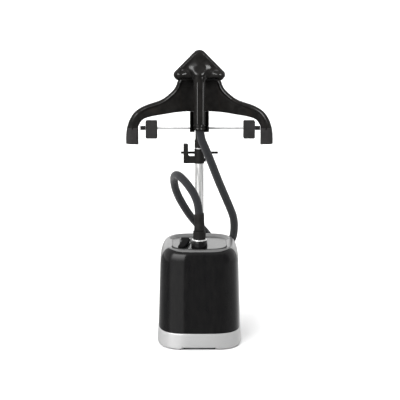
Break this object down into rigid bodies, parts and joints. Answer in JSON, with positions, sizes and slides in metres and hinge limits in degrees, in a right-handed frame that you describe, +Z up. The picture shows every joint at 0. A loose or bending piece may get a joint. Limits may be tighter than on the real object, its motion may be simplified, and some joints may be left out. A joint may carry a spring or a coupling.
{
  "type": "upright garment steamer",
  "caption": "Upright garment steamer: floor base with water tank, telescopic pole, hanger with trouser clips, and a steam head on a flexible hose.",
  "frame": {"origin": "on the floor under the middle of the base", "axes": "+Z up along the pole, -Y towards the user and the tank's front, +X to the user's right"},
  "size_m": [0.414, 0.3132, 0.8317],
  "materials": {
    "gloss_black": "gloss",
    "silver": "satin metallic",
    "silver_deck": "gloss metallic",
    "matte_dark": "matte",
    "rubber": "matte",
    "chrome": "polished",
    "steel": "brushed",
    "aluminium": "satin",
    "brass_fitting": "satin",
    "pale_plastic": "matte",
    "circuit_board": "matte",
    "smoked_tank": "gloss",
    "hose_fabric": "woven"
  },
  "bodies": {
    "base": {"base_tray": "matte_dark", "skirt": "silver", "rubber_feet": "rubber", "rear_cover": "silver", "mains_inlet": "matte_dark", "top_frame": "silver", "deck": "silver_deck", "pole_socket": "matte_dark", "boiler": "aluminium", "heating_element": "steel", "thermostat": "brass_fitting", "pump": "pale_plastic", "water_pipe": "pale_plastic", "steam_pipe": "brass_fitting", "control_board": "circuit_board", "tank_seat": "pale_plastic", "housing_screws": "steel", "connector_boss": "gloss_black", "chrome_ring": "chrome", "hose_cuff": "matte_dark", "steam_hose": "hose_fabric", "outer_tube": "chrome", "hook_collar": "matte_dark", "cross_peg": "matte_dark", "lower_lock_pin": "steel", "lever_pin": "steel"},
    "coupling_nut": {"coupling_nut": "matte_dark"},
    "pole_lock_lever": {"pole_lock_lever": "matte_dark"},
    "power_switch": {"power_switch": "matte_dark"},
    "water_tank": {"tank_shell": "gloss_black", "tank_rim": "silver", "water_tank": "smoked_tank", "tank_valve": "pale_plastic"},
    "tank_cap": {"tank_cap": "matte_dark"},
    "lower_lock_lever": {"lower_lock_lever": "matte_dark"},
    "middle_tube": {"middle_tube": "chrome", "middle_glide": "pale_plastic", "upper_collar": "matte_dark", "upper_lock_pin": "steel"},
    "upper_lock_lever": {"upper_lock_lever": "matte_dark"},
    "pole_top": {"inner_tube": "chrome", "inner_glide": "pale_plastic", "hanger_neck": "matte_dark", "hanger_front": "gloss_black", "hanger_back": "gloss_black", "left_end_cap": "matte_dark", "right_end_cap": "matte_dark", "bar_end_stops": "matte_dark", "trouser_bar": "chrome", "head_cradle": "gloss_black"},
    "left_clip": {"left_clip_back_jaw": "matte_dark", "left_clip_spring": "steel"},
    "left_clip_front": {"left_clip_front_jaw": "matte_dark"},
    "right_clip": {"right_clip_back_jaw": "matte_dark", "right_clip_spring": "steel"},
    "right_clip_front": {"right_clip_front_jaw": "matte_dark"},
    "steam_head": {"head_shell": "gloss_black", "soleplate": "aluminium", "steam_channel": "aluminium"},
    "steam_trigger": {"steam_trigger": "gloss_black"}
  },
  "joints": [
    {"name": "pole_extend", "type": "slide", "parent": "base", "child": "pole_top", "axis": [0, 0, 1], "range_m": [0, 0.74]},
    {"name": "middle_tube_extend", "type": "slide", "parent": "base", "child": "middle_tube", "axis": [0, 0, 1], "range_m": [0, 0.37]},
    {"name": "lower_lock_turn", "type": "hinge", "parent": "base", "child": "lower_lock_lever", "pos_m": [-0.00803, 0.03222, 0.5177], "axis": [0, 0, 1], "range_deg": [0, 95]},
    {"name": "upper_lock_turn", "type": "hinge", "parent": "middle_tube", "child": "upper_lock_lever", "pos_m": [-0.00803, 0.03222, 0.5665], "axis": [0, 0, 1], "range_deg": [0, 95]},
    {"name": "head_lift", "type": "slide", "parent": "pole_top", "child": "steam_head", "axis": [0, 0, 1], "range_m": [0, 0.035]},
    {"name": "steam_trigger_pull", "type": "hinge", "parent": "steam_head", "child": "steam_trigger", "pos_m": [0, -0.031, 0.731], "axis": [-1, 0, 0], "range_deg": [0, 6], "stiffness_Nm_per_rad": 0.3},
    {"name": "left_clip_slide", "type": "slide", "parent": "pole_top", "child": "left_clip", "axis": [1, 0, 0], "range_m": [0, 0.08]},
    {"name": "right_clip_slide", "type": "slide", "parent": "pole_top", "child": "right_clip", "axis": [-1, 0, 0], "range_m": [0, 0.08]},
    {"name": "left_clip_open", "type": "hinge", "parent": "left_clip", "child": "left_clip_front", "pos_m": [-0.1355, 0.015, 0.6095], "axis": [-1, 0, 0], "range_deg": [0, 20], "stiffness_Nm_per_rad": 0.3},
    {"name": "right_clip_open", "type": "hinge", "parent": "right_clip", "child": "right_clip_front", "pos_m": [0.1405, 0.015, 0.6095], "axis": [-1, 0, 0], "range_deg": [0, 20], "stiffness_Nm_per_rad": 0.3},
    {"name": "tank_slide", "type": "slide", "parent": "base", "child": "water_tank", "axis": [0, -1, 0], "range_m": [0, 0.13]},
    {"name": "tank_cap_turn", "type": "hinge", "parent": "water_tank", "child": "tank_cap", "pos_m": [-0.05, -0.066, 0.24], "axis": [0, 0, 1], "range_deg": [0, 60]},
    {"name": "pole_lock_turn", "type": "hinge", "parent": "base", "child": "pole_lock_lever", "pos_m": [-0.04, 0.03, 0.2835], "axis": [-1, 0, 0], "range_deg": [0, 75]},
    {"name": "power_switch_rock", "type": "hinge", "parent": "base", "child": "power_switch", "pos_m": [0.055, 0.118, 0.09], "axis": [1, 0, 0], "range_deg": [0, 8]},
    {"name": "coupling_nut_turn", "type": "hinge", "parent": "base", "child": "coupling_nut", "pos_m": [0, -0.067, 0.315], "axis": [0, 0, 1], "range_deg": [0, 60]}
  ],
  "couplings": [
    {"joint": "middle_tube_extend", "follows": "pole_extend", "ratio": 0.5}
  ]
}
